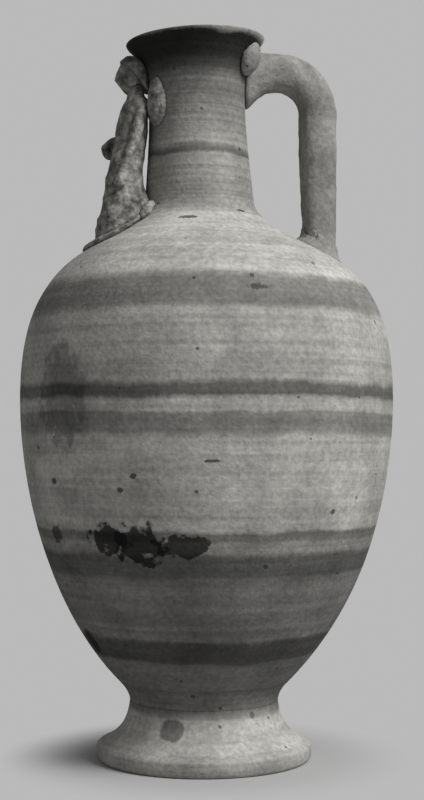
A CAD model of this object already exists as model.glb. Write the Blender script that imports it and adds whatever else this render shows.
"""A tall banded pottery jug with a rolled handle and a small modelled figure, dressed round its frame."""
import logging
import math
from dataclasses import dataclass
from enum import Enum

import bpy
from mathutils import Matrix, Vector


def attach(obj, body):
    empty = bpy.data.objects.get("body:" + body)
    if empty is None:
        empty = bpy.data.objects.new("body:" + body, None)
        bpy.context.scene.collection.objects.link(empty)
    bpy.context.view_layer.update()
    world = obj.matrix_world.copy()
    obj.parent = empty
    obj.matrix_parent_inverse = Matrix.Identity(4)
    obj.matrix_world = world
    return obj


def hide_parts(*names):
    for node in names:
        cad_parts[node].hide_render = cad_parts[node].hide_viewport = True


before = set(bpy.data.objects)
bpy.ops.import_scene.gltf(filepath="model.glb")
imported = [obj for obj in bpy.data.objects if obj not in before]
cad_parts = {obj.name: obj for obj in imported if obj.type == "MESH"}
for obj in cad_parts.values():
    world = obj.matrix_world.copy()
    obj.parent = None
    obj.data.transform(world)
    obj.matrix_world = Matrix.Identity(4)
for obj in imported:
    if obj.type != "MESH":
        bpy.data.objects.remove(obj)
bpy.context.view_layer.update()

MM = 0.001
HEIGHT = 380.0
LOG = logging.getLogger("jug")

Point = tuple[float, float]
Share = tuple[float, float]
Place = tuple[float, float, float]
Colour = tuple[float, float, float, float]
Tones = tuple[tuple[float, float], ...]
Tree = bpy.types.NodeTree
Socket = bpy.types.NodeSocket

# Lengths below this count as none
TINY = 1e-6

# The sRGB curve: a straight toe for the darkest values, and a power of the shifted value above it
SRGB_TOE = 0.04045
SRGB_TOE_SLOPE = 12.92
SRGB_SHIFT = 0.055
SRGB_POWER = 2.4


class Slot(Enum):
    """Material slots of the record, one for each finish of the clay."""

    FOOT = "foot_clay"
    BODY = "body_clay"
    SHOULDER = "shoulder_clay"
    NECK = "neck_clay"
    HANDLE = "handle_clay"
    FIGURE = "figure_clay"


def linear(grey: float) -> float:
    """Linear value of an sRGB grey.

    Args:
        grey: sRGB grey from 0 to 255.

    Returns:
        The linear value from 0 to 1.
    """
    value = grey / 255
    if value <= SRGB_TOE:
        return value / SRGB_TOE_SLOPE
    return ((value + SRGB_SHIFT) / (1 + SRGB_SHIFT)) ** SRGB_POWER


def linear_grey(grey: float) -> Colour:
    """Linear colour of an sRGB grey from 0 to 255, with an alpha of 1."""
    return (linear(grey),) * 3 + (1.0,)


def linear_hex(code: str) -> Colour:
    """Linear colour of an sRGB hex code.

    Args:
        code: Colour such as "#8f8e89".

    Returns:
        Linear red, green, blue and an alpha of 1.
    """
    red, green, blue = (linear(int(code[i:i + 2], 16)) for i in (1, 3, 5))
    return (red, green, blue, 1.0)


def per_metre(size: float) -> float:
    """Scale of a pattern whose features are a number of mm wide."""
    return 1 / (size * MM)


def smoothstep(value: float, low: float, high: float) -> float:
    """Eases from 0 to 1 as a value runs from low to high.

    Args:
        value: The value.
        low: Where the result leaves 0.
        high: Where it reaches 1.

    Returns:
        The eased share from 0 to 1.
    """
    share = min(1.0, max(0.0, (value - low) / (high - low)))
    return share * share * (3 - 2 * share)


def select_only(piece: bpy.types.Object) -> None:
    """Makes a piece the active object and the only selected one."""
    bpy.ops.object.select_all(action="DESELECT")
    piece.select_set(True)
    bpy.context.view_layer.objects.active = piece


def emptied(owner: bpy.types.ID) -> Tree:
    """Clears the node tree of a material or world.

    Args:
        owner: The material or world.

    Returns:
        Its tree, with no node left.
    """
    owner.use_nodes = True
    owner.node_tree.nodes.clear()
    return owner.node_tree


def add(
    tree: Tree,
    kind: str,
    settings: dict[str, object],
    inputs: dict[int | str, object],
    output: int | str = 0,
) -> Socket | None:
    """Adds a node to a tree, sets it and links it.

    Args:
        tree: Node tree that takes the node.
        kind: Type name of the node.
        settings: Attributes of the node and their values.
        inputs: Values or sockets for the node's inputs, by name or number.
        output: Name or number of the output that is wanted.

    Returns:
        The output socket, or None where the node has none.
    """
    node = tree.nodes.new(kind)
    for key, value in settings.items():
        setattr(node, key, value)
    for key, value in inputs.items():
        if isinstance(value, bpy.types.NodeSocket):
            tree.links.new(value, node.inputs[key])
        else:
            node.inputs[key].default_value = value
    return node.outputs[output] if node.outputs else None


def dress(node: str, piece: bpy.types.Object, material: bpy.types.Material) -> None:
    """Gives a piece its finish and ties it to the CAD node that it stands for.

    Args:
        node: Name of the CAD node.
        piece: The finished piece.
        material: Its material.
    """
    piece.data.materials.clear()
    piece.data.materials.append(material)
    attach(piece, "root")
    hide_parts(node)
    LOG.info("%s stands for %s with %d faces", piece.name, node, len(piece.data.polygons))


@dataclass(frozen=True)
class Bend:
    """Course of a cubic curve and the number of points that it adds.

    Each handle is a share of the step across and of the step up.
    """

    first: Share
    second: Share
    points: int


# Bends of the outer side, from the foot up
FOOT_BEND = Bend((0.66, 0.2), (0.93, 0.5), 24)
WAIST_BEND = Bend((0.05, 0.35), (0.5, 0.72), 8)
BELLY_BEND = Bend((0.91, 0.333), (1, 0.83), 84)
SHOULDER_BEND = Bend((0, 0.83), (0.657, 0.768), 72)
COVE_BEND = Bend((0.6, 0.36), (0.94, 0.62), 8)
NECK_BEND = Bend((0.24, 0.21), (1, 0.66), 40)
LIP_BEND = Bend((0, 0.5), (0.2, 0.76), 24)

# Bends of the inner side, each from its upper end down
HOLLOW_BEND = Bend((0.1, 0.4), (0.55, 0.72), 12)
BELLY_INSIDE = Bend((0, 0.19), (0.09, 0.7), 32)
SHOULDER_INSIDE = Bend((0.34, 0.232), (1, 0.17), 32)
LIP_INSIDE = Bend((0.75, 0.28), (1, 0.45), 20)
BORE_BEND = Bend((0, 0.4), (0.6, 0.8), 16)

# A corner that turns less than this stays as it is, and easing takes at most this share of a side
SOFT_CORNER = math.radians(14)
EASED_SHARE = 0.3


class Outline:
    """Outline of a turned part in radius and height, grown from its first point."""

    def __init__(self, radius: float, height: float) -> None:
        """Starts the outline at a point."""
        self.points: list[Point] = [(radius, height)]

    def line(self, radius: float, height: float) -> "Outline":
        """Adds a straight stretch to a point, and gives the outline back."""
        self.points.append((radius, height))
        return self

    def curve(self, radius: float, height: float, bend: Bend) -> "Outline":
        """Adds a cubic curve to a point.

        Args:
            radius: Radius of the last point.
            height: Height of the last point.
            bend: Course of the curve.

        Returns:
            The same outline.
        """
        r0, z0 = self.points[-1]
        dr, dz = radius - r0, height - z0
        for i in range(1, bend.points + 1):
            t = i / bend.points
            a, b, c = 3 * t * (1 - t) ** 2, 3 * t * t * (1 - t), t ** 3
            self.points.append((
                r0 + dr * (a * bend.first[0] + b * bend.second[0] + c),
                z0 + dz * (a * bend.first[1] + b * bend.second[1] + c),
            ))
        return self

    def eased(self, cut: float) -> "Outline":
        """Takes the sharpness off every clear corner, as a wet sponge does.

        Args:
            cut: Longest distance from the corner at which the easing starts, in mm.

        Returns:
            A new outline.
        """
        result = Outline(*self.points[0])
        for before, here, after in zip(self.points, self.points[1:], self.points[2:]):
            back = Vector(before) - Vector(here)
            ahead = Vector(after) - Vector(here)
            if min(back.length, ahead.length) < TINY or math.pi - back.angle(ahead) < SOFT_CORNER:
                result.line(*here)
                continue
            start = Vector(here) + back * min(EASED_SHARE, cut / back.length)
            end = Vector(here) + ahead * min(EASED_SHARE, cut / ahead.length)
            middle = (start + end + 2 * Vector(here)) / 4
            for point in (start, middle, end):
                result.line(*point)
        return result.line(*self.points[-1])


# Where the photographed view looks from: camera distance and height in mm, its turn about the jug in
# degrees, and the column and row of the jug's axis and foot, with the size in mm of a pixel at the axis
VIEW_DISTANCE = 820.0
VIEW_HEIGHT = 168.0
VIEW_TURN = 10.0
AXIS_COLUMN = 206.5
FOOT_ROW = 756.4
PIXEL = 0.5325
FRAME_WIDTH = 424
FRAME_HEIGHT = 800

# A mark's depth below the picture and its size in it settle together in this many rounds
SPOT_ROUNDS = 8


def from_view(place: Place) -> Vector:
    """Turns a place given as seen from the camera into the jug's frame."""
    return Matrix.Rotation(math.radians(-VIEW_TURN), 3, "Z") @ Vector(place)


@dataclass(frozen=True)
class Mark:
    """Stain, chip or crack on the thrown jug, placed by where it shows in the photographed view.

    Attributes:
        column: Column of its middle in the view.
        row: Row of its middle in the view.
        half_width: Half its width in mm.
        half_height: Half its height in mm.
        depth: Share of the clay's tone that it takes away.
        ragged: How torn its edge is, from 0 for a plain oval.
    """

    column: float
    row: float
    half_width: float
    half_height: float
    depth: float = 0.75
    ragged: float = 0.5


MARKS = (
    # Black losses low on the belly
    Mark(108, 540, 10, 7, 0.88, 1.0),
    Mark(140, 545, 13, 9, 0.88, 1.0),
    Mark(178, 546, 12, 6, 0.85, 1.1),
    Mark(57, 534, 5, 5, 0.7, 0.9),
    # Stains on the left
    Mark(93, 640, 6, 9, 0.8, 0.4),
    Mark(60, 395, 16, 24, 0.35, 0.7),
    # Nicks on the belly
    Mark(133, 476, 1.8, 1.5),
    Mark(120, 490, 1.8, 1.2),
    Mark(54, 481, 2.0, 1.6),
    Mark(333, 512, 1.6, 1.4),
    Mark(212, 461, 4.0, 0.8),
    # Stains on the foot
    Mark(172, 731, 6.5, 6.0, 0.6, 0.3),
    Mark(253, 715, 1.9, 1.9, 0.5, 0.2),
    # Cracks on the shoulder and a scuff below them
    Mark(188, 217, 5.0, 0.9),
    Mark(243, 210, 3.2, 0.8),
    Mark(258, 286, 4.0, 1.6, 0.55, 1.0),
)

# Soft ridges that fingers leave: waves by their radians per mm of height and their rounds about the jug
RIDGE_WAVES = ((1.31, 1), (0.53, -1), (0.04, 2))
# The ridges fade in between these radii and these heights, and out between these depths below the lip
RIDGE_RADII = (8, 20)
RIDGE_HEIGHTS = (0.5, 4)
RIDGE_LIP_DEPTHS = (4, 1)


@dataclass
class ThrownJug:
    """Foot, two body halves and neck, thrown on the wheel: sizes in mm, angles in degrees."""

    # Foot
    foot_radius: float = 57
    foot_height: float = 31
    foot_ring: float = 12
    foot_band: float = 9
    band_round: float = 1.5
    foot_wall: float = 12.5
    foot_easing: float = 1.2
    # Waist, and the small flare above it
    waist: float = 39.4
    waist_flare: float = 4
    waist_rise: float = 8.5
    # Body
    seam_height: float = 190
    body_radius: float = 98.7
    wall: float = 6
    floor: float = 9
    floor_cove: float = 1.5
    floor_inset_in_walls: float = 1.6
    shoulder_wall: float = 6.5
    # Neck, and the cove that it rises from
    neck_start: float = 286
    neck_base: float = 34
    neck_radius: float = 25.6
    neck_wall: float = 5.2
    collar_in_walls: float = 1.5
    cove_inset: float = 5
    cove_rise: float = 8.5
    throat: float = 345
    neck_easing: float = 0.5
    # Lip
    lip_radius: float = 36.9
    lip_thickness: float = 2.2
    lip_round: float = 1.0
    # How far the jug settled out of true: the foot's drift ends at a share of the lower half, and the
    # neck's starts at a share of the upper half
    foot_drift: float = -1.4
    foot_drift_share: float = 0.5
    neck_drift: float = -3.6
    neck_drift_start_share: float = 0.58
    neck_lean: float = 1.5
    lip_tilt: float = 2.9
    # Steps round the axis, depth of the finger ridges, merging distance and sharpest smooth edge
    turns: int = 192
    ridge: float = 0.14
    weld: float = 0.001
    crease: float = 40

    def __post_init__(self) -> None:
        """Notes the outer side of the whole jug, which the marks are placed on."""
        side = self.neck_side(self.upper_side(self.lower_side(self.foot_side(Outline(0, 0)))))
        self.side = side.points

    def foot_side(self, outline: Outline) -> Outline:
        """Carries an outline up the foot's outer side.

        Args:
            outline: Outline that ends under the foot.

        Returns:
            The same outline, up to the waist.
        """
        outline.line(self.foot_radius - self.band_round, 0).line(self.foot_radius, self.band_round)
        outline.line(self.foot_radius, self.foot_band - self.band_round)
        outline.line(self.foot_radius - self.band_round, self.foot_band)
        return outline.curve(self.waist, self.foot_height, FOOT_BEND)

    def lower_side(self, outline: Outline) -> Outline:
        """Carries an outline from the waist up to the seam, and gives it back."""
        outline.curve(self.waist + self.waist_flare, self.foot_height + self.waist_rise, WAIST_BEND)
        return outline.curve(self.body_radius, self.seam_height, BELLY_BEND)

    def upper_side(self, outline: Outline) -> Outline:
        """Carries an outline from the seam up to the neck, and gives it back."""
        return outline.curve(self.neck_base, self.neck_start, SHOULDER_BEND)

    def neck_side(self, outline: Outline) -> Outline:
        """Carries an outline up the neck to the lip.

        Args:
            outline: Outline that ends where the neck starts.

        Returns:
            The same outline, up to the lip's top edge.
        """
        outline.curve(self.neck_base - self.cove_inset, self.neck_start + self.cove_rise, COVE_BEND)
        outline.curve(self.neck_radius, self.throat, NECK_BEND)
        edge = self.lip_radius - self.lip_round
        outline.curve(edge, HEIGHT - self.lip_thickness, LIP_BEND)
        return outline.line(self.lip_radius, HEIGHT - self.lip_round / 2).line(edge, HEIGHT)

    def outlines(self) -> dict[str, Outline]:
        """Closed outlines of the four parts.

        Returns:
            Each CAD node's name and its outline.
        """
        ring = self.foot_radius - self.foot_ring
        foot = self.foot_side(Outline(ring, 0)).line(self.waist - self.foot_wall, self.foot_height)
        foot.curve(ring, 0, HOLLOW_BEND)

        floor = self.foot_height + self.floor
        lower = self.lower_side(Outline(0, self.foot_height).line(self.waist, self.foot_height))
        lower.line(self.body_radius - self.wall, self.seam_height)
        lower.curve(self.waist - self.wall / 2, floor + self.floor_cove, BELLY_INSIDE)
        lower.line(self.waist - self.floor_inset_in_walls * self.wall, floor).line(0, floor)

        collar = self.neck_base - self.collar_in_walls * self.neck_wall
        upper = self.upper_side(Outline(self.body_radius, self.seam_height)).line(collar, self.neck_start)
        upper.line(collar, self.neck_start - self.shoulder_wall)
        upper.curve(self.body_radius - self.wall, self.seam_height, SHOULDER_INSIDE)
        upper.line(self.body_radius, self.seam_height)

        edge = HEIGHT - self.lip_round / 2
        neck = self.neck_side(Outline(self.neck_base, self.neck_start))
        neck.line(self.lip_radius - self.lip_round - self.lip_thickness / 2, edge)
        neck.curve(self.neck_radius - self.neck_wall, self.throat, LIP_INSIDE)
        neck.curve(collar, self.neck_start, BORE_BEND)
        neck.line(self.neck_base, self.neck_start)
        return {
            "foot": foot.eased(self.foot_easing),
            "lower_body": lower,
            "upper_body": upper,
            "neck": neck.eased(self.neck_easing),
        }

    def drift(self, height: float) -> float:
        """Sideways drift of the jug's axis.

        Args:
            height: Height above the standing plane, in mm.

        Returns:
            The drift along X at that height, in mm.
        """
        foot_end = self.foot_height + self.foot_drift_share * (self.seam_height - self.foot_height)
        neck_from = self.seam_height + self.neck_drift_start_share * (self.neck_start - self.seam_height)
        foot = self.foot_drift * (1 - smoothstep(height, self.foot_height, foot_end))
        neck = self.neck_drift * smoothstep(height, neck_from, self.neck_start)
        lean = math.tan(math.radians(self.neck_lean)) * max(0.0, height - self.neck_start)
        return foot + neck - lean

    def settled(self, x: float, y: float, z: float) -> Place:
        """Sets a turned point out of true, with the soft ridges that fingers leave.

        Args:
            x: Place across, in mm.
            y: Place in depth, in mm.
            z: Height, in mm.

        Returns:
            The settled point in mm.
        """
        turn = math.atan2(y, x)
        radius = math.hypot(x, y)
        count = len(RIDGE_WAVES)
        wave = sum(math.sin(z * climb + turn * rounds) for climb, rounds in RIDGE_WAVES)
        inset = self.ridge * (count + wave) / (2 * count)
        inset *= smoothstep(radius, *RIDGE_RADII) * smoothstep(z, *RIDGE_HEIGHTS)
        inset *= 1 - smoothstep(z, *(HEIGHT - depth for depth in RIDGE_LIP_DEPTHS))
        keep = 1 - inset / max(radius, TINY)
        rise = x * math.tan(math.radians(self.lip_tilt))
        rise *= smoothstep(z, self.throat, HEIGHT - self.lip_thickness)
        return (x * keep + self.drift(z), y * keep, z + rise)

    def spun(self, name: str, outline: Outline) -> bpy.types.Object:
        """Turns an outline about the jug's axis.

        Args:
            name: Name of the new piece.
            outline: Closed outline in mm.

        Returns:
            The finished piece.
        """
        points = [(radius * MM, 0.0, height * MM) for radius, height in outline.points]
        mesh = bpy.data.meshes.new(name)
        mesh.from_pydata(points, [(i, i + 1) for i in range(len(points) - 1)], [])
        piece = bpy.data.objects.new(name, mesh)
        bpy.context.scene.collection.objects.link(piece)
        select_only(piece)
        bpy.ops.object.mode_set(mode="EDIT")
        bpy.ops.mesh.select_all(action="SELECT")
        bpy.ops.mesh.spin(steps=self.turns, angle=2 * math.pi, center=(0, 0, 0), axis=(0, 0, 1))
        bpy.ops.mesh.select_all(action="SELECT")
        bpy.ops.mesh.remove_doubles(threshold=self.weld * MM)
        bpy.ops.mesh.normals_make_consistent(inside=False)
        bpy.ops.object.mode_set(mode="OBJECT")
        for vertex in mesh.vertices:
            vertex.co = Vector(self.settled(*(value / MM for value in vertex.co))) * MM
        bpy.ops.object.shade_smooth_by_angle(angle=math.radians(self.crease))
        return piece

    def radius_at(self, height: float) -> float:
        """Outer radius of the jug.

        Args:
            height: Height above the standing plane, in mm.

        Returns:
            The radius at that height, in mm, before the jug settles.
        """
        for (r0, z0), (r1, z1) in zip(self.side, self.side[1:]):
            if z0 <= height <= z1 and z1 > z0:
                return r0 + (r1 - r0) * (height - z0) / (z1 - z0)
        return self.lip_radius

    def spot(self, mark: Mark) -> Place:
        """Place of a mark on the jug's surface.

        Args:
            mark: The mark, with its column and row in the photographed view.

        Returns:
            Its place in the jug's frame, in metres.
        """
        across = (mark.column - AXIS_COLUMN) * PIXEL
        up = (FOOT_ROW - mark.row) * PIXEL - VIEW_HEIGHT
        near = 0.0
        for _ in range(SPOT_ROUNDS):
            share = VIEW_DISTANCE / (VIEW_DISTANCE - near)
            height = VIEW_HEIGHT + up / share
            near = math.sqrt(max(0.0, self.radius_at(height) ** 2 - (across / share) ** 2))
        return tuple(from_view((across / share * MM, -near * MM, height * MM)))

    def build(self, wall_clay: bpy.types.Material, neck_clay: bpy.types.Material) -> None:
        """Builds and dresses the four parts.

        Args:
            wall_clay: Material of the foot and the body.
            neck_clay: Material of the neck.
        """
        built = {node: self.spun("thrown_" + node, outline) for node, outline in self.outlines().items()}
        for node, piece in built.items():
            dress(node, piece, neck_clay if node == "neck" else wall_clay)


@dataclass(frozen=True)
class Modelled:
    """How the solid of an applied piece is refined.

    Attributes:
        node: Name of the CAD node.
        grid: Size of the finer mesh's faces in mm.
        smoothing: Rounds of smoothing.
        dent: Depth of the dents in mm.
    """

    node: str
    grid: float
    smoothing: int
    dent: float


HANDLE_PIECES = (
    Modelled("handle", 0.9, 8, 0.9),
    Modelled("handle_lug_near", 0.6, 5, 1.2),
    Modelled("handle_lug_far", 0.6, 5, 1.2),
    Modelled("handle_collar", 0.6, 3, 0.8),
)
FIGURE_PIECES = (
    Modelled("figure_bed", 0.6, 3, 0.6),
    Modelled("figure_body", 0.7, 6, 1.6),
    Modelled("figure_head", 0.3, 1, 0.1),
    Modelled("figure_veil", 0.4, 3, 0.5),
    Modelled("figure_left_arm", 0.5, 4, 0.9),
    Modelled("figure_right_arm", 0.5, 4, 0.9),
    Modelled("juglet", 0.45, 3, 0.3),
    Modelled("neck_pad", 0.5, 3, 1.1),
    Modelled("skirt_strip", 0.45, 2, 0.6),
)


@dataclass
class AppliedClay:
    """Hand-modelled pieces pressed on the jug: each swells a little, so that it closes on its bed."""

    pieces: tuple[Modelled, ...]
    slot: Slot
    # Merging distance, swelling and width of a dent in mm
    weld: float = 0.01
    swell: float = 0.35
    dent_size: float = 7.0
    # Layers of finer dents, the level between hollow and bump, and the strength of a round of smoothing
    dent_layers: int = 2
    dent_level: float = 0.55
    smoothing: float = 0.5

    def refined(self, modelled: Modelled) -> bpy.types.Object:
        """Makes the finely modelled piece that stands for a CAD node.

        Args:
            modelled: The node and how it is refined.

        Returns:
            The finished piece.
        """
        name = "modelled_" + modelled.node
        piece = bpy.data.objects.new(name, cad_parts[modelled.node].data.copy())
        bpy.context.scene.collection.objects.link(piece)
        select_only(piece)
        bpy.ops.object.mode_set(mode="EDIT")
        bpy.ops.mesh.select_all(action="SELECT")
        bpy.ops.mesh.remove_doubles(threshold=self.weld * MM)
        bpy.ops.object.mode_set(mode="OBJECT")
        dents = bpy.data.textures.new(name, "CLOUDS")
        dents.noise_scale = self.dent_size * MM
        dents.noise_depth = self.dent_layers
        wanted = (
            ("REMESH", {"mode": "VOXEL", "voxel_size": modelled.grid * MM}),
            ("SMOOTH", {"factor": self.smoothing, "iterations": modelled.smoothing}),
            ("DISPLACE", {"strength": self.swell * MM, "mid_level": 0.0}),
            ("DISPLACE", {"texture": dents, "strength": modelled.dent * MM, "mid_level": self.dent_level}),
        )
        for number, (kind, settings) in enumerate(wanted):
            modifier = piece.modifiers.new(f"{kind}_{number}", kind)
            for key, value in settings.items():
                setattr(modifier, key, value)
            bpy.ops.object.modifier_apply(modifier=modifier.name)
        bpy.ops.object.shade_smooth()
        return piece

    def build(self, clay: bpy.types.Material) -> None:
        """Builds the pieces and dresses them in one clay."""
        built = {modelled.node: self.refined(modelled) for modelled in self.pieces}
        for node, piece in built.items():
            dress(node, piece, clay)


# Tones by height in mm, as sRGB greys. The painted bands are the dark steps
BAND_TONES = (
    # Foot
    (0, 150), (8, 158), (11, 174), (25, 172),
    # Waist and the lowest band
    (29, 112), (40, 104), (56, 106), (58, 70), (68, 70), (70, 108),
    # Band low on the belly, with a thin one above it
    (100, 112), (103, 82), (112, 84), (114, 124), (118.5, 136), (119.5, 106), (123.5, 106), (125, 156),
    # Pair of bands at the widest part
    (169, 166), (172.5, 124), (181, 124), (182.5, 158), (188, 158), (189.5, 95), (195, 95), (197, 152),
    # Broad band on the shoulder, and the pale slip above it
    (230, 158), (234.5, 121), (247, 122), (250.5, 174), (283, 177), (288, 150),
)
NECK_TONES = (
    # Foot of the neck and its thin ring
    (283, 177), (287, 150), (300, 144), (316, 146), (317.5, 100), (320, 100), (321.5, 144), (345, 126),
    # Below the lip, the dark underside of the lip and its pale edge
    (350, 104), (355, 112), (361, 70), (367, 34), (377, 30), (378.5, 130), (380, 165),
)
ROLLED_TONES = ((0, 140), (265, 140), (280, 128), (340, 134), (380, 142))
MODELLED_TONES = ((0, 128), (272, 132), (300, 128), (345, 122), (380, 112))

# A new colour ramp comes with this many stops
RAMP_STOPS = 2

# Widths of the patterns in mm: the waver of a painted edge, a streak's length round the wall, the tatters
# of a mark's edge, dirt in the pores and the grain of the skin. Dirt and grain are finer on real clay, and
# are drawn as coarse as the render needs to show them
WAVER_SIZE = 38.46
STREAK_LENGTH = 142.86
BROAD_TATTERS = 5.263
FINE_TATTERS = 1.613
DIRT_SIZE = 2.381
GRAIN_SIZE = 1.4286

# How far a painted edge wavers, in mm
WAVER_REACH = 9.0

# Noise lies mostly between these values
NOISE_LOW = 0.3
NOISE_HIGH = 0.7

# Half-width in mm above which a mark is torn in broad tatters and not in fine ones
LARGE_MARK = 5.0
# Reach of the tatters and half the width of a mark's soft edge, in half-widths of the mark
TATTER_REACH = 2.4
MARK_EDGE = 0.15

# Draw above which a cell holds a pit, its largest radius and half its soft edge in cells, and its shade
PIT_DRAW = 0.84
PIT_REACH = 0.17
PIT_EDGE = 0.03
PIT_SHADE = 0.6

# Relief of blotches and pits against that of the grain
BLOTCH_RELIEF = 1.5
PIT_RELIEF = -1.6


@dataclass(frozen=True)
class FiredClay:
    """Matt earthenware: a dry, porous skin with no gloss, streaked by the wheel or smeared by hand."""

    name: str
    tint: str
    tones: Tones
    marks: tuple[Mark, ...] = ()
    # Height of a turning streak and width of a blotch in mm, each with its share of the tone
    streak: float = 2.4
    streak_depth: float = 0.16
    blotch: float = 30.0
    blotch_depth: float = 0.3
    # Share of the tone that dirt in the pores takes or gives
    dirt_depth: float = 0.2
    # Spacing in mm of the cells that may hold a pit, where lime or grit popped out
    pit_spacing: float = 7.0
    # Height of the relief in mm and its strength
    bump: float = 0.35
    bump_strength: float = 0.8
    # Unglazed clay scatters light widely and hardly shines
    roughness: float = 0.86
    shine: float = 0.25

    def material(self, jug: ThrownJug) -> bpy.types.Material:
        """Makes the procedural material.

        Args:
            jug: The thrown jug, on which the marks are placed.

        Returns:
            The material, on Object coordinates.
        """
        material = bpy.data.materials.new(self.name)
        tree = emptied(material)
        where = add(tree, "ShaderNodeTexCoord", {}, {}, "Object")
        tone = self.banded(tree, where)
        tone, blotches = self.weathered(tree, where, tone)
        tone = self.marked(tree, where, tone, jug)
        tone, pits = self.pitted(tree, where, tone)
        tint = linear_hex(self.tint)[:3]
        hue = tuple(value / max(tint) for value in tint)
        colour = add(tree, "ShaderNodeVectorMath", {"operation": "SCALE"}, {0: hue, "Scale": tone})
        shader = add(tree, "ShaderNodeBsdfPrincipled", {}, {
            "Base Color": colour,
            "Roughness": self.roughness,
            "Specular IOR Level": self.shine,
            "Normal": self.relief(tree, where, blotches, pits),
        })
        add(tree, "ShaderNodeOutputMaterial", {}, {"Surface": shader})
        return material

    def banded(self, tree: Tree, where: Socket) -> Socket:
        """Tone by height, with band edges that waver as a brushed line does.

        Args:
            tree: Node tree of the material.
            where: Object coordinates.

        Returns:
            The tone.
        """
        height = add(tree, "ShaderNodeSeparateXYZ", {}, {0: where}, "Z")
        waver = add(tree, "ShaderNodeTexNoise", {}, {
            "Vector": where, "Scale": per_metre(WAVER_SIZE), "Detail": 9.0, "Roughness": 0.68,
        })
        reach = WAVER_REACH * MM
        shift = add(tree, "ShaderNodeMath", {"operation": "MULTIPLY_ADD"}, {0: waver, 1: reach, 2: height})
        share = add(tree, "ShaderNodeMapRange", {}, {
            "Value": shift, "From Min": reach / 2, "From Max": HEIGHT * MM + reach / 2,
        })
        ramp = tree.nodes.new("ShaderNodeValToRGB")
        tree.links.new(share, ramp.inputs[0])
        stops = ramp.color_ramp.elements
        for number, (level, grey) in enumerate(self.tones):
            stop = stops[number] if number < RAMP_STOPS else stops.new(1.0)
            stop.position = level / HEIGHT
            stop.color = linear_grey(grey)
        return ramp.outputs[0]

    def weathered(self, tree: Tree, where: Socket, tone: Socket) -> tuple[Socket, Socket]:
        """Lays on streaks from the wheel, blotches from handling and burial, and dirt in the pores.

        Args:
            tree: Node tree of the material.
            where: Object coordinates.
            tone: The tone so far.

        Returns:
            The new tone and the blotches.
        """
        along = per_metre(STREAK_LENGTH)
        lines = add(tree, "ShaderNodeMapping", {}, {
            "Vector": where, "Scale": (along, along, per_metre(self.streak)),
        })
        streaks = add(tree, "ShaderNodeTexNoise", {}, {"Vector": lines, "Scale": 1.0, "Detail": 3.0})
        blotches = add(tree, "ShaderNodeTexNoise", {}, {
            "Vector": where, "Scale": per_metre(self.blotch), "Detail": 9.0, "Roughness": 0.62,
        })
        dirt = add(tree, "ShaderNodeTexNoise", {}, {
            "Vector": where, "Scale": per_metre(DIRT_SIZE), "Detail": 5.0,
        })
        layers = ((streaks, self.streak_depth), (blotches, self.blotch_depth), (dirt, self.dirt_depth))
        for noise, depth in layers:
            factor = add(tree, "ShaderNodeMapRange", {}, {
                "Value": noise, "From Min": NOISE_LOW, "From Max": NOISE_HIGH,
                "To Min": 1 - depth, "To Max": 1 + depth,
            })
            tone = add(tree, "ShaderNodeMath", {"operation": "MULTIPLY"}, {0: tone, 1: factor})
        return tone, blotches

    def marked(self, tree: Tree, where: Socket, tone: Socket, jug: ThrownJug) -> Socket:
        """Lays on stains, losses and cracks at their places on the jug.

        Args:
            tree: Node tree of the material.
            where: Object coordinates.
            tone: The tone so far.
            jug: The thrown jug, on which the marks are placed.

        Returns:
            The new tone.
        """
        if not self.marks:
            return tone
        broad = add(tree, "ShaderNodeTexNoise", {}, {
            "Vector": where, "Scale": per_metre(BROAD_TATTERS), "Detail": 6.0,
        })
        fine = add(tree, "ShaderNodeTexNoise", {}, {
            "Vector": where, "Scale": per_metre(FINE_TATTERS), "Detail": 4.0,
        })
        for mark in self.marks:
            torn = broad if mark.half_width > LARGE_MARK else fine
            across = per_metre(mark.half_width)
            size = (across, across, per_metre(mark.half_height))
            spot = jug.spot(mark)
            place = add(tree, "ShaderNodeVectorMath", {"operation": "SUBTRACT"}, {0: where, 1: spot})
            scaled = add(tree, "ShaderNodeVectorMath", {"operation": "MULTIPLY"}, {0: place, 1: size})
            far = add(tree, "ShaderNodeVectorMath", {"operation": "LENGTH"}, {0: scaled}, "Value")
            reach = mark.ragged * TATTER_REACH
            edge = add(tree, "ShaderNodeMath", {"operation": "MULTIPLY_ADD"}, {0: torn, 1: reach, 2: far})
            middle = 1 + reach / 2
            factor = add(tree, "ShaderNodeMapRange", {"interpolation_type": "SMOOTHSTEP"}, {
                "Value": edge, "From Min": middle - MARK_EDGE, "From Max": middle + MARK_EDGE,
                "To Min": 1 - mark.depth, "To Max": 1.0,
            })
            tone = add(tree, "ShaderNodeMath", {"operation": "MULTIPLY"}, {0: tone, 1: factor})
        return tone

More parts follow.
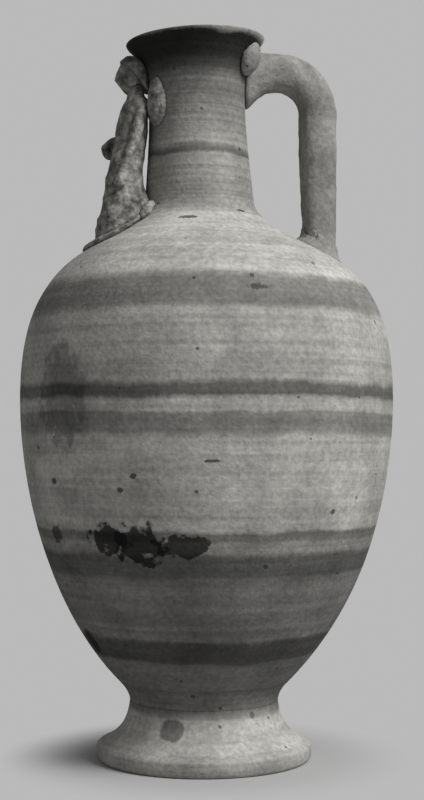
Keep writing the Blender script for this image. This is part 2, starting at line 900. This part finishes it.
    def pitted(self, tree: Tree, where: Socket, tone: Socket) -> tuple[Socket, Socket]:
        """Lays on scattered dark pits, in about one cell of six.

        Args:
            tree: Node tree of the material.
            where: Object coordinates.
            tone: The tone so far.

        Returns:
            The new tone and the pits.
        """
        settings = {"feature": "F1"}
        inputs = {"Vector": where, "Scale": per_metre(self.pit_spacing)}
        far = add(tree, "ShaderNodeTexVoronoi", settings, inputs, "Distance")
        cell = add(tree, "ShaderNodeTexVoronoi", settings, inputs, "Color")
        draw = add(tree, "ShaderNodeSeparateColor", {}, {0: cell}, 0)
        reach = add(tree, "ShaderNodeMapRange", {}, {
            "Value": draw, "From Min": PIT_DRAW, "From Max": 1.0, "To Min": 0.0, "To Max": PIT_REACH,
        })
        inside = add(tree, "ShaderNodeMath", {"operation": "SUBTRACT"}, {0: reach, 1: far})
        pits = add(tree, "ShaderNodeMapRange", {"interpolation_type": "SMOOTHSTEP"}, {
            "Value": inside, "From Min": -PIT_EDGE, "From Max": PIT_EDGE,
        })
        factor = add(tree, "ShaderNodeMath", {"operation": "MULTIPLY_ADD"}, {
            0: pits, 1: -PIT_SHADE, 2: 1.0,
        })
        return add(tree, "ShaderNodeMath", {"operation": "MULTIPLY"}, {0: tone, 1: factor}), pits

    def relief(self, tree: Tree, where: Socket, blotches: Socket, pits: Socket) -> Socket:
        """Raises the dry grain and sinks the pits.

        Args:
            tree: Node tree of the material.
            where: Object coordinates.
            blotches: The blotches, which stand a little proud.
            pits: The pits.

        Returns:
            The bumped normal.
        """
        grain = add(tree, "ShaderNodeTexNoise", {}, {
            "Vector": where, "Scale": per_metre(GRAIN_SIZE), "Detail": 4.0,
        })
        rough = add(tree, "ShaderNodeMath", {"operation": "MULTIPLY_ADD"}, {
            0: blotches, 1: BLOTCH_RELIEF, 2: grain,
        })
        level = add(tree, "ShaderNodeMath", {"operation": "MULTIPLY_ADD"}, {
            0: pits, 1: PIT_RELIEF, 2: rough,
        })
        return add(tree, "ShaderNodeBump", {}, {
            "Strength": self.bump_strength, "Distance": self.bump * MM, "Height": level,
        })


# Wheel-thrown earthenware shows fine level streaks, and its painted bands have soft, wavering edges
THROWN_CLAY = FiredClay("thrown_earthenware", "#a6a5a0", BAND_TONES, MARKS)
# The same clay on the neck, where the streaks are finer and stronger
NECK_CLAY = FiredClay("thrown_earthenware_neck", "#a6a5a0", NECK_TONES, MARKS, streak=1.8, streak_depth=0.2)
# Rolled earthenware is smeared lengthwise by wet hands: soft blotches and no streaks to speak of
ROLLED_CLAY = FiredClay(
    "rolled_earthenware", "#a6a5a0", ROLLED_TONES,
    streak_depth=0.05, blotch=14.0, blotch_depth=0.34, pit_spacing=6.0, bump=0.5,
)
# Hand-modelled earthenware keeps dirt in its dents, so it looks dark, patchy and rough
MODELLED_CLAY = FiredClay(
    "modelled_earthenware", "#a2a19b", MODELLED_TONES,
    streak_depth=0.04, blotch=7.0, blotch_depth=0.85, dirt_depth=0.45, pit_spacing=4.0, bump=0.9,
    roughness=0.9,
)


@dataclass
class Studio:
    """Pale floor, soft lamps and the camera at the photographed view: places in metres, power in watts."""

    backdrop_grey: float = 186
    sky: float = 0.17
    key_power: float = 31.0
    key_place: Place = (1.05, -0.75, 1.35)
    key_size: float = 0.8
    fill_power: float = 2.4
    fill_place: Place = (-1.3, -1.2, 0.9)
    fill_size: float = 1.6
    # Sensor's width in mm
    sensor: float = 36.0
    # Floor's width, and the radii between which it fades, from just outside the foot
    floor_size: float = 8.0
    fade_start: float = 0.058
    fade_end: float = 0.115

    @property
    def backdrop(self) -> Colour:
        """Linear colour of the backdrop and the floor."""
        return linear_grey(self.backdrop_grey)

    def lamp(self, name: str, power: float, place: Place, size: float) -> None:
        """Adds a square lamp aimed at the middle of the jug.

        Args:
            name: Name of the lamp.
            power: Its power.
            place: Its place as seen from the camera.
            size: Length of its side.
        """
        light = bpy.data.lights.new(name, "AREA")
        light.energy = power
        light.size = size
        lamp = bpy.data.objects.new(name, light)
        bpy.context.scene.collection.objects.link(lamp)
        lamp.location = from_view(place)
        aim = Vector((0, 0, HEIGHT * MM / 2)) - lamp.location
        lamp.rotation_euler = aim.to_track_quat("-Z", "Y").to_euler()

    def camera(self) -> None:
        """Adds the level camera of the photographed view."""
        long_side = FRAME_HEIGHT * PIXEL
        data = bpy.data.cameras.new("camera")
        data.sensor_width = self.sensor
        data.lens = self.sensor * VIEW_DISTANCE / long_side
        data.shift_x = (FRAME_WIDTH / 2 - AXIS_COLUMN) / FRAME_HEIGHT
        data.shift_y = (FOOT_ROW - VIEW_HEIGHT / PIXEL - FRAME_HEIGHT / 2) / FRAME_HEIGHT
        camera = bpy.data.objects.new("camera", data)
        bpy.context.scene.collection.objects.link(camera)
        camera.location = from_view((0, -VIEW_DISTANCE * MM, VIEW_HEIGHT * MM))
        camera.rotation_euler = (math.pi / 2, 0, math.radians(-VIEW_TURN))
        bpy.context.scene.camera = camera

    def world(self) -> None:
        """Lights from all round, and shows the backdrop's grey to the camera."""
        world = bpy.data.worlds.new("studio")
        tree = emptied(world)
        seen = add(tree, "ShaderNodeLightPath", {}, {}, "Is Camera Ray")
        light = add(tree, "ShaderNodeBackground", {}, {"Color": (1, 1, 1, 1), "Strength": self.sky})
        shown = add(tree, "ShaderNodeBackground", {}, {"Color": self.backdrop, "Strength": 1.0})
        mixed = add(tree, "ShaderNodeMixShader", {}, {0: seen, 1: light, 2: shown})
        add(tree, "ShaderNodeOutputWorld", {}, {"Surface": mixed})
        bpy.context.scene.world = world

    def floor(self) -> None:
        """Adds a matt floor that keeps the shadow by the foot and fades into the backdrop."""
        bpy.ops.object.select_all(action="DESELECT")
        bpy.ops.mesh.primitive_plane_add(size=self.floor_size, location=(0, 0, 0))
        floor = bpy.context.active_object
        floor.name = "studio_floor"
        material = bpy.data.materials.new("floor_card")
        tree = emptied(material)
        where = add(tree, "ShaderNodeTexCoord", {}, {}, "Object")
        far = add(tree, "ShaderNodeVectorMath", {"operation": "LENGTH"}, {0: where}, "Value")
        fade = add(tree, "ShaderNodeMapRange", {"interpolation_type": "SMOOTHSTEP"}, {
            "Value": far, "From Min": self.fade_start, "From Max": self.fade_end,
        })
        seen = add(tree, "ShaderNodeLightPath", {}, {}, "Is Camera Ray")
        share = add(tree, "ShaderNodeMath", {"operation": "MULTIPLY"}, {0: fade, 1: seen})
        card = add(tree, "ShaderNodeBsdfDiffuse", {}, {"Color": self.backdrop})
        shown = add(tree, "ShaderNodeEmission", {}, {"Color": self.backdrop, "Strength": 1.0})
        mixed = add(tree, "ShaderNodeMixShader", {}, {0: share, 1: card, 2: shown})
        add(tree, "ShaderNodeOutputMaterial", {}, {"Surface": mixed})
        floor.data.materials.append(material)

    def build(self) -> None:
        """Sets up the view, the lamps and the floor."""
        bpy.context.scene.view_settings.view_transform = "Standard"
        self.camera()
        self.world()
        self.floor()
        self.lamp("key", self.key_power, self.key_place, self.key_size)
        self.lamp("fill", self.fill_power, self.fill_place, self.fill_size)


def main() -> None:
    """Builds the studio and the jug."""
    logging.basicConfig(level=logging.INFO)
    Studio().build()
    jug = ThrownJug()
    jug.build(THROWN_CLAY.material(jug), NECK_CLAY.material(jug))
    AppliedClay(HANDLE_PIECES, Slot.HANDLE).build(ROLLED_CLAY.material(jug))
    AppliedClay(FIGURE_PIECES, Slot.FIGURE).build(MODELLED_CLAY.material(jug))


if __name__ == "__main__":
    main()
